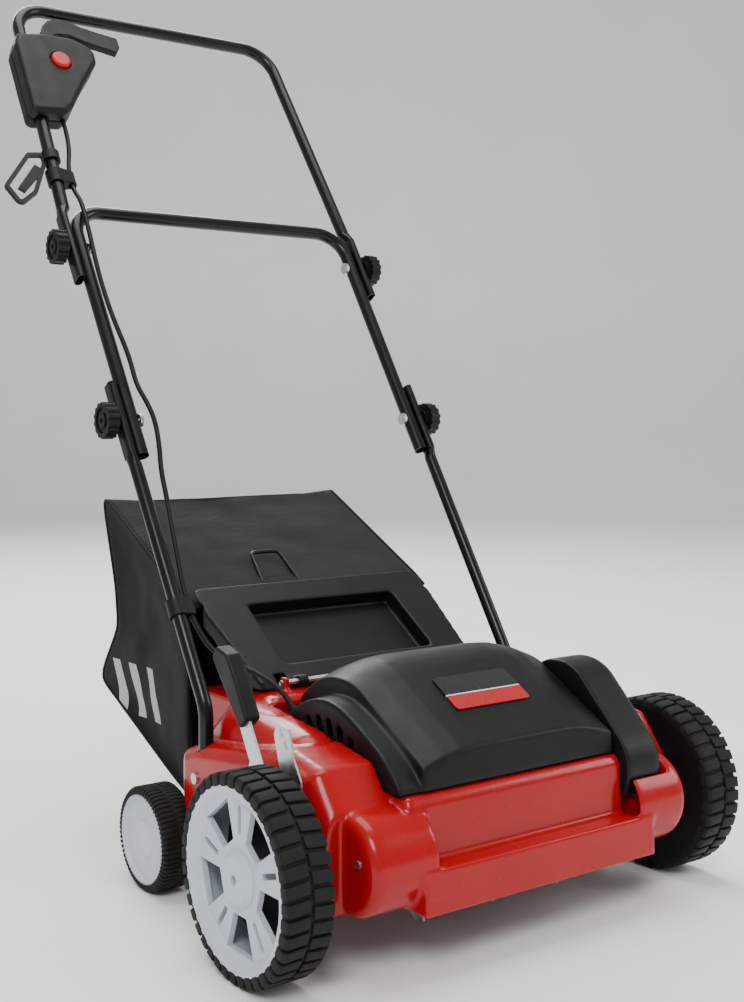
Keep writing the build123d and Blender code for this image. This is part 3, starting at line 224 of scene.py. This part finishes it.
# ---------------------------------------------------------------- materials
red_shell = moulded("red_shell", (0.34, 0.0002, 0.0025), (0.39, 0.0004, 0.003), 0.24, 420, 0.00006, 0.25)
dark_shell = moulded("dark_shell", (0.0045, 0.0045, 0.005), (0.0075, 0.0075, 0.008), 0.42, 1300, 0.0003)
black_plastic = moulded("black_plastic", (0.005, 0.005, 0.0055), (0.008, 0.008, 0.0085), 0.46, 1100, 0.0003)
black_enamel = moulded(
    "black_enamel", (0.0025, 0.0025, 0.003), (0.005, 0.005, 0.0055), 0.3, 500, 0.00015, 0.2
)
red_button = moulded("red_button", (0.42, 0.003, 0.003), (0.50, 0.006, 0.005), 0.35, 500, 0.0001, 0.2)
pale_rim = moulded("pale_rim", (0.50, 0.55, 0.63), (0.58, 0.63, 0.71), 0.42, 700, 0.0002)
cable_sheath = moulded("cable_sheath", (0.004, 0.004, 0.0045), (0.007, 0.007, 0.0075), 0.45, 900, 0.0002)
zinc = metal("zinc", (0.50, 0.52, 0.53), (0.72, 0.74, 0.75), 0.36)
steel = metal("steel", (0.36, 0.37, 0.39), (0.55, 0.56, 0.58), 0.34, (0.15, 1, 1))
aluminium = metal("aluminium", (0.55, 0.55, 0.57), (0.70, 0.70, 0.72), 0.45)
copper = metal("copper", (0.42, 0.22, 0.12), (0.62, 0.34, 0.20), 0.42, (4, 1, 1))


def make_rubber():
    """Tyre rubber: dusty black, finely pitted."""
    made, tree, shader = new_material("tyre_rubber")
    dust = add_noise(tree, 60, 6)
    colour = add_ramp(tree, dust, [(0.35, (0.005, 0.005, 0.005)), (0.75, (0.014, 0.0135, 0.013))])
    tree.links.new(colour, shader.inputs["Base Color"])
    tree.links.new(add_range(tree, dust, 0.58, 0.78), shader.inputs["Roughness"])
    add_bump(tree, shader, add_noise(tree, 900, 3), 0.7, 0.0004)
    shader.inputs["Specular IOR Level"].default_value = 0.25
    return made


WEAVE_PITCH = 0.0026
BARS_START = 0.018
BARS_PITCH = 0.042
BAR_SHARE = 0.45
BAR_COUNT = 3
BARS_LEAN = -0.35
BARS_LOW, BARS_HIGH = 0.150, 0.215
BAG_RIGHT = -0.150


def make_fabric(name, banded):
    """Coarse black weave; the banded one carries three pale plain bars on the bag's right side."""
    made, tree, shader = new_material(name)
    x, y, z = add_place(tree)
    turns = 2 * math.pi / WEAVE_PITCH
    along = add_math(tree, "ADD", add_math(tree, "MULTIPLY", x, turns), add_math(tree, "MULTIPLY", y, turns))
    slant = add_math(tree, "MULTIPLY", y, -turns / 3)
    across = add_math(tree, "ADD", add_math(tree, "MULTIPLY", z, turns), slant)
    weave = add_math(tree, "MULTIPLY", add_math(tree, "SINE", along), add_math(tree, "SINE", across))
    threads = add_math(tree, "ADD", add_math(tree, "MULTIPLY", weave, 0.5), 0.5)
    mottled = add_noise(tree, 22, 6)
    dark = add_ramp(tree, mottled, [(0.3, (0.003, 0.003, 0.0035)), (0.7, (0.007, 0.007, 0.008))])
    colour = add_mix(tree, threads, dark, (0.010, 0.010, 0.011))
    if banded:
        lean = add_math(tree, "ADD", y, add_math(tree, "MULTIPLY", z, BARS_LEAN))
        phase = add_math(tree, "MULTIPLY", add_math(tree, "SUBTRACT", lean, BARS_START), 1 / BARS_PITCH)
        inside = add_math(tree, "LESS_THAN", add_math(tree, "FRACT", phase), BAR_SHARE)
        for edge, operation in ((0, "GREATER_THAN"), (BAR_COUNT, "LESS_THAN")):
            inside = add_math(tree, "MULTIPLY", inside, add_math(tree, operation, phase, edge))
        for value, operation, limit in (
            (x, "LESS_THAN", BAG_RIGHT), (z, "GREATER_THAN", BARS_LOW), (z, "LESS_THAN", BARS_HIGH)
        ):
            inside = add_math(tree, "MULTIPLY", inside, add_math(tree, operation, value, limit))
        colour = add_mix(tree, inside, colour, (0.46, 0.47, 0.48))
    tree.links.new(colour, shader.inputs["Base Color"])
    tree.links.new(add_range(tree, mottled, 0.78, 0.92), shader.inputs["Roughness"])
    add_bump(tree, shader, threads, 0.8, 0.0005)
    shader.inputs["Specular IOR Level"].default_value = 0.2
    shader.inputs["Sheen Weight"].default_value = 0.06
    shader.inputs["Sheen Roughness"].default_value = 0.5
    return made


LABEL_SLOPE = math.radians(29.3)
LABEL_RED_BELOW = -0.004
LABEL_LINE_AT = 0.0035
LABEL_LINE_HALF = 0.0007


def make_label():
    """A blank badge: black above, red below, a thin pale line between."""
    made, tree, shader = new_material("label_badge")
    low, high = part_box("label_plate")
    middle = (low + high) / 2
    x, y, z = add_place(tree)
    up_y = add_math(tree, "MULTIPLY", add_math(tree, "SUBTRACT", y, middle[1]), math.cos(LABEL_SLOPE))
    up_z = add_math(tree, "MULTIPLY", add_math(tree, "SUBTRACT", z, middle[2]), math.sin(LABEL_SLOPE))
    up = add_math(tree, "ADD", up_y, up_z)
    lower = add_math(tree, "LESS_THAN", up, LABEL_RED_BELOW)
    from_line = add_math(tree, "ABSOLUTE", add_math(tree, "ADD", up, LABEL_LINE_AT))
    line = add_math(tree, "LESS_THAN", from_line, LABEL_LINE_HALF)
    speckle = add_noise(tree, 300, 3)
    black = add_ramp(tree, speckle, [(0.3, (0.002, 0.002, 0.002)), (0.7, (0.004, 0.004, 0.004))])
    colour = add_mix(tree, line, add_mix(tree, lower, black, (0.42, 0.001, 0.003)), (0.8, 0.8, 0.8))
    tree.links.new(colour, shader.inputs["Base Color"])
    tree.links.new(add_range(tree, speckle, 0.22, 0.32), shader.inputs["Roughness"])
    shader.inputs["Coat Weight"].default_value = 0.5
    return made


rubber = make_rubber()
bag_fabric = make_fabric("bag_fabric", True)
binding_fabric = make_fabric("binding_fabric", False)
FINISHES = {
    "red_shell": red_shell, "dark_shell": dark_shell, "tube": black_enamel, "zinc": zinc, "steel": steel,
    "tyre": rubber, "rim": pale_rim, "black_plastic": black_plastic, "button_red": red_button,
    "cable": cable_sheath, "bag": bag_fabric, "label": make_label(), "copper": copper, "aluminium": aluminium,
}


def paint(obj, material):
    """The object shows only this material."""
    obj.data.materials.clear()
    obj.data.materials.append(material)


for part in frame["record"]["subparts"]:
    node = nodes[part["node"]]
    for place in node.material_slots:
        place.material = FINISHES[part["material_slot"]]


# ---------------------------------------------------------------- mesh helpers
def mesh_object(name, points, faces, material, smooth=True):
    """A mesh object from points in metres."""
    mesh = bpy.data.meshes.new(name)
    mesh.from_pydata([tuple(p) for p in points], [], faces)
    mesh.update()
    obj = bpy.data.objects.new(name, mesh)
    bpy.context.collection.objects.link(obj)
    paint(obj, material)
    mesh.polygons.foreach_set("use_smooth", [smooth] * len(mesh.polygons))
    return obj


def apply_modifiers(obj):
    """Bakes the modifiers into the object's own mesh."""
    graph = bpy.context.evaluated_depsgraph_get()
    made = bpy.data.meshes.new_from_object(obj.evaluated_get(graph))
    obj.modifiers.clear()
    obj.data = made


def tube_mesh(name, points, radius, material, closed=False, order=3):
    """A round tube along a smooth spline through the control points, as a mesh."""
    curve = bpy.data.curves.new(name, "CURVE")
    curve.dimensions = "3D"
    curve.bevel_depth = radius
    curve.bevel_resolution = 5
    curve.resolution_u = 10
    curve.use_fill_caps = True
    spline = curve.splines.new("NURBS")
    spline.points.add(len(points) - 1)
    for point, place in zip(spline.points, points):
        point.co = (*place, 1)
    spline.order_u = order
    spline.use_endpoint_u = not closed
    spline.use_cyclic_u = closed
    source = bpy.data.objects.new(name + "_line", curve)
    bpy.context.collection.objects.link(source)
    bpy.context.view_layer.update()
    mesh = bpy.data.meshes.new_from_object(source.evaluated_get(bpy.context.evaluated_depsgraph_get()))
    bpy.data.objects.remove(source)
    obj = bpy.data.objects.new(name, mesh)
    bpy.context.collection.objects.link(obj)
    paint(obj, material)
    mesh.polygons.foreach_set("use_smooth", [True] * len(mesh.polygons))
    return obj


def cut(obj, place, normal, keep_above):
    """Keeps one side of a plane and closes the cut."""
    form = bmesh.new()
    form.from_mesh(obj.data)
    geometry = form.verts[:] + form.edges[:] + form.faces[:]
    cutting = bmesh.ops.bisect_plane(
        form, geom=geometry, plane_co=place, plane_no=normal,
        clear_inner=keep_above, clear_outer=not keep_above,
    )
    rim = [e for e in cutting["geom_cut"] if isinstance(e, bmesh.types.BMEdge)]
    bmesh.ops.holes_fill(form, edges=rim, sides=0)
    form.to_mesh(obj.data)
    form.free()


# ---------------------------------------------------------------- cable
LEG_ROUTE = [
    (-180, 222, 0), (-180, 196, 0), (-184, 165, 1), (-193.5, 130, 0), (-196, 96, 2), (-195.5, 68, 13),
    (-198, 23, 15), (-201, -22, 15), (-202, -64, 14), (-201, -117, 15), (-192, -168, 11),
    (-195, -213, 13), (-189, -239, 15), (-185, -264, 14), (-186.5, -295, 10), (-192, -328, 6),
    (-194, -360, 5), (-198, -398, 4), (-202, -441, 3), (-205, -482, 0), (-204, -522, 1),
]
HOUSING_ROUTE = [(-192, 230, 268), (-175, 204, 256), (-160, 176, 246), (-149, 146, 230), (-146, 122, 206)]
CABLE_R = 3.0
route = [on_handle(*place) for place in LEG_ROUTE]
route += [Vector((x, back(y), z)) * MM for x, y, z in HOUSING_ROUTE]
SPLIT = on_handle(-200, -125)
UP_HANDLE = Vector((0, math.cos(SLOPE), math.sin(SLOPE)))

cable_top = tube_mesh("cable_top", route, CABLE_R * MM, cable_sheath)
cut(cable_top, SPLIT, UP_HANDLE, True)
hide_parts("cable_upper")
cable_bottom = tube_mesh("cable_bottom", route, CABLE_R * MM, cable_sheath)
cut(cable_bottom, SPLIT, UP_HANDLE, False)
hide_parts("cable_mid", "cable_lower")
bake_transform(cable_top)
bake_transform(cable_bottom)


# ---------------------------------------------------------------- tyres
def wheel_point(side, centre, outward, radius, angle):
    """A point of a wheel in metres, from its distance out along x, its radius and its angle."""
    y, z = centre
    return Vector((side * outward, y + radius * math.cos(angle), z + radius * math.sin(angle))) * MM


def carcass(side, centre, profile, steps):
    """Points and faces of a profile turned about a wheel's axle."""
    points, faces = [], []
    count = len(profile)
    for i in range(steps):
        angle = 2 * math.pi * i / steps
        points += [wheel_point(side, centre, out, radius, angle) for out, radius in profile]
        for j in range(count):
            near, far = i * count, (i + 1) % steps * count
            following = (j + 1) % count
            faces.append((near + j, near + following, far + following, far + j))
    return points, faces


def tread_block(side, centre, inner, outer, low, high, start, sweep, slant):
    """One bevelled tread block that wraps over the tyre's shoulder."""
    points, faces = [], []
    steps = 3
    shoulder = 3.0
    for i in range(steps + 1):
        angle = start + sweep * i / steps
        lean = slant * sweep
        ring = [
            (inner, low, 0), (inner, high - 0.8, 0), (inner + 0.8 * math.copysign(1, outer - inner), high, 0),
            (outer - shoulder * math.copysign(1, outer - inner), high, lean),
            (outer, high - shoulder, lean), (outer, low - 9, lean),
        ]
        points += [wheel_point(side, centre, out, radius, angle + turn) for out, radius, turn in ring]
    count = 6
    for i in range(steps):
        for j in range(count):
            following = (j + 1) % count
            faces.append(
                (i * count + j, i * count + following, (i + 1) * count + following, (i + 1) * count + j)
            )
    faces.append(tuple(range(count)))
    faces.append(tuple(steps * count + j for j in reversed(range(count))))
    return points, faces


def treaded_tyre(name, side, centre, radius, rim_r, inner, outer, blocks, depth):
    """A tyre with two offset rows of tread blocks and a groove between them."""
    middle = (inner + outer) / 2
    base = radius - depth
    profile = [
        (inner + 1, rim_r), (inner + 0.5, base - 9), (inner + 1, base - 4), (inner + 4, base - 0.5),
        (inner + 9, base), (outer - 9, base), (outer - 4, base - 0.5), (outer - 1, base - 4),
        (outer - 0.5, base - 9), (outer - 1, rim_r),
    ]
    points, faces = carcass(side, centre, profile, 96)
    pitch = 2 * math.pi / blocks
    for i in range(blocks):
        for edge, offset in ((inner, 0.0), (outer, 0.5)):
            inward = middle + math.copysign(1.6, edge - middle)
            new_points, new_faces = tread_block(
                side, centre, inward, edge, base - 1, radius, (i + offset) * pitch, 0.72 * pitch, 0.16
            )
            faces += [tuple(len(points) + v for v in face) for face in new_faces]
            points += new_points
    obj = mesh_object(name, points, faces, rubber, smooth=False)
    form = bmesh.new()
    form.from_mesh(obj.data)
    bmesh.ops.recalc_face_normals(form, faces=form.faces)
    form.to_mesh(obj.data)
    form.free()
    bevel = obj.modifiers.new("edges", "BEVEL")
    bevel.width = 0.6 * MM
    bevel.segments = 2
    bevel.angle_limit = math.radians(35)
    apply_modifiers(obj)
    obj.data.polygons.foreach_set("use_smooth", [True] * len(obj.data.polygons))
    obj.data.set_sharp_from_angle(angle=math.radians(32))
    return obj


for side, hand in ((-1, "right"), (1, "left")):
    front = treaded_tyre(
        f"front_tyre_{hand}_treaded", side, (AXLE_Y, 100.0), 100.0, 88.0, 251.0, 302.0, 40, 3.2
    )
    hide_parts(f"front_tyre_{hand}")
    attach(front, f"front_wheel_{hand}")
    rear = treaded_tyre(
        f"rear_tyre_{hand}_treaded", side, (back(271), 58.7), 58.7, 49.8, 221.0, 261.5, 64, 1.0
    )
    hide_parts(f"rear_tyre_{hand}")
    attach(rear, f"rear_wheel_{hand}")


# ---------------------------------------------------------------- catch bag
BAG_HALF = 175.0
BAG_OUTLINE = [
    (320, 83), (368, 101), (558, 182), (553, 198), (507, 258), (513, 310), (543, 406), (545, 423),
    (337, 317), (320, 306),
]
BAG_STEPS = 120
BAG_COLUMNS = 40


def outline_point(share):
    """A point part of the way round the bag's side outline, from the mouth's bottom to its top."""
    lengths = [math.dist(a, b) for a, b in zip(BAG_OUTLINE, BAG_OUTLINE[1:])]
    left = share * sum(lengths)
    for (start, end), length in zip(zip(BAG_OUTLINE, BAG_OUTLINE[1:]), lengths):
        if left <= length + 1e-9:
            part = left / length
            return start[0] + (end[0] - start[0]) * part, start[1] + (end[1] - start[1]) * part
        left -= length
    return BAG_OUTLINE[-1]


def rounded_outline(share, spread=0.012):
    """The outline with its corners softened by averaging its neighbourhood."""
    spread = min(spread, share, 1 - share)
    near = [outline_point(share + spread * k / 3) for k in range(-3, 4)]
    return sum(p[0] for p in near) / 7, sum(p[1] for p in near) / 7


def wrinkle(point, scale, depth):
    """Soft folds: noise that changes little along the length of a fold."""
    place = Vector((point.x * 0.6, point.y, point.z * 0.8)) * scale
    return depth * (noise.noise(place) + 0.5 * noise.noise(place * 2.3))


def bag_strip():
    """The bag's bottom, back and top as one sheet, slack between its side seams."""
    points, faces = [], []
    for i in range(BAG_STEPS + 1):
        share = i / BAG_STEPS
        y, z = rounded_outline(share)
        ahead, behind = rounded_outline(min(share + 0.01, 1)), rounded_outline(max(share - 0.01, 0))
        along = Vector((0, ahead[0] - behind[0], ahead[1] - behind[1])).normalized()
        inward = Vector((0, -along.z, along.y))
        for j in range(BAG_COLUMNS + 1):
            cross = 2 * j / BAG_COLUMNS - 1
            slack = (1 - cross**4) * math.sin(math.pi * share) ** 0.5
            place = Vector((cross * BAG_HALF, back(y), z))
            shift = 5.0 * slack + slack * wrinkle(place * MM, 13, 5.0)
            points.append((place + inward * max(shift, -0.5)) * MM)
    row = BAG_COLUMNS + 1
    for i in range(BAG_STEPS):
        for j in range(BAG_COLUMNS):
            a = i * row + j
            faces.append((a, a + 1, a + row + 1, a + row))
    return points, faces


def bag_side(side):
    """A side panel, ruled from the outline to the mouth and drawn in a little."""
    points, faces = [], []
    columns = 26
    mouth_low, mouth_high = BAG_OUTLINE[0], BAG_OUTLINE[-1]
    for i in range(BAG_STEPS + 1):
        share = i / BAG_STEPS
        y, z = rounded_outline(share)
        mouth = [a + (b - a) * share for a, b in zip(mouth_low, mouth_high)]
        for j in range(columns + 1):
            part = j / columns
            slack = math.sin(math.pi * min(part * 1.1, 1)) * math.sin(math.pi * share) ** 0.5
            place = Vector((side * BAG_HALF, back(y + (mouth[0] - y) * part), z + (mouth[1] - z) * part))
            shift = 7.0 * slack + slack * wrinkle(place * MM, 14, 6.0)
            place.x -= side * max(shift, -0.5)
            points.append(place * MM)
    row = columns + 1
    for i in range(BAG_STEPS):
        for j in range(columns):
            a = i * row + j
            face = (a, a + 1, a + row + 1, a + row)
            faces.append(face if side < 0 else face[::-1])
    return points, faces


bag_points, bag_faces = bag_strip()
for side in (-1, 1):
    side_points, side_faces = bag_side(side)
    bag_faces += [tuple(len(bag_points) + v for v in face) for face in side_faces]
    bag_points += side_points
bag = mesh_object("bag_shell", bag_points, bag_faces, bag_fabric)
form = bmesh.new()
form.from_mesh(bag.data)
bmesh.ops.remove_doubles(form, verts=form.verts, dist=0.3 * MM)
bmesh.ops.recalc_face_normals(form, faces=form.faces)
form.to_mesh(bag.data)
form.free()
bag.data.polygons.foreach_set("use_smooth", [True] * len(bag.data.polygons))
thick = bag.modifiers.new("cloth", "SOLIDIFY")
thick.thickness = 1.4 * MM
thick.offset = 0
apply_modifiers(bag)
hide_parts("grass_bag")
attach(bag, "bag")

seam_shares = [i / 60 for i in range(61)]
for side, hand in ((-1, "right"), (1, "left")):
    line = []
    for share in seam_shares:
        y, z = rounded_outline(share)
        line.append(Vector((side * BAG_HALF, back(y), z)) * MM)
    piping = tube_mesh(f"bag_piping_{hand}", line, 2.2 * MM, binding_fabric)
    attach(piping, "bag")

HEM = [
    (-BAG_HALF, 320, 85), (-BAG_HALF, 320, 120), (-BAG_HALF, 320, 270), (-BAG_HALF, 320, 304),
    (-BAG_HALF + 30, 321, 306), (0, 321, 306), (BAG_HALF - 30, 321, 306), (BAG_HALF, 320, 304),
    (BAG_HALF, 320, 270), (BAG_HALF, 320, 120), (BAG_HALF, 320, 85), (BAG_HALF - 30, 320, 83),
    (0, 320, 83), (-BAG_HALF + 30, 320, 83),
]
hem = tube_mesh(
    "bag_hem", [Vector((x, back(y), z)) * MM for x, y, z in HEM], 2.4 * MM, binding_fabric, closed=True
)
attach(hem, "bag")


# ---------------------------------------------------------------- softened mouldings
def soften(name, node, body, voxel, rounds, material):
    """A copy of a moulding with its edges rounded as a mould leaves them."""
    source = nodes[node]
    copy = bpy.data.objects.new(name, source.data.copy())
    bpy.context.collection.objects.link(copy)
    copy.matrix_world = source.matrix_world
    form = bmesh.new()
    form.from_mesh(copy.data)
    bmesh.ops.remove_doubles(form, verts=form.verts, dist=0.01 * MM)
    form.to_mesh(copy.data)
    form.free()
    remesh = copy.modifiers.new("remesh", "REMESH")
    remesh.mode = "VOXEL"
    remesh.voxel_size = voxel * MM
    smooth = copy.modifiers.new("smooth", "SMOOTH")
    smooth.factor = 0.5
    smooth.iterations = rounds
    apply_modifiers(copy)
    paint(copy, material)
    copy.data.polygons.foreach_set("use_smooth", [True] * len(copy.data.polygons))
    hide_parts(node)
    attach(copy, body)


MOULDINGS = [
    ("deck_housing", "deck", 2.2, 8, red_shell),
    ("motor_cover", "deck", 2.0, 8, dark_shell),
    ("belt_cover", "deck", 2.0, 5, dark_shell),
    ("rear_flap", "flap", 2.0, 5, dark_shell),
    ("switch_box_front", "upper_handle", 1.2, 24, black_plastic),
    ("switch_box_rear", "upper_handle", 1.2, 24, black_plastic),
    ("switch_lever", "switch_lever", 1.0, 10, black_plastic),
    ("lever_grip", "depth_crank", 1.0, 10, black_plastic),
]
for node, body, voxel, rounds, material in MOULDINGS:
    soften(node + "_skin", node, body, voxel, rounds, material)


# ---------------------------------------------------------------- floor
def make_floor():
    """A plain pale floor under and behind the machine."""
    made, tree, shader = new_material("floor_paper")
    mottled = add_noise(tree, 3, 3)
    colour = add_ramp(tree, mottled, [(0.3, (0.94, 0.94, 0.94)), (0.7, (0.97, 0.97, 0.97))])
    tree.links.new(colour, shader.inputs["Base Color"])
    shader.inputs["Roughness"].default_value = 0.85
    half, height, curve = 6.0, 5.0, 1.2
    profile = [(-half, 0.0), (half - curve, 0.0)]
    profile += [
        (half - curve + curve * math.sin(a), curve - curve * math.cos(a))
        for a in (math.pi / 2 * k / 12 for k in range(1, 13))
    ]
    profile.append((half, height))
    points = [(x, y, z) for y, z in profile for x in (-half, half)]
    faces = [(2 * i, 2 * i + 1, 2 * i + 3, 2 * i + 2) for i in range(len(profile) - 1)]
    floor = mesh_object("floor", points, faces, made)
    floor.rotation_euler = (0, 0, math.radians(-35.94))
    return floor


make_floor()
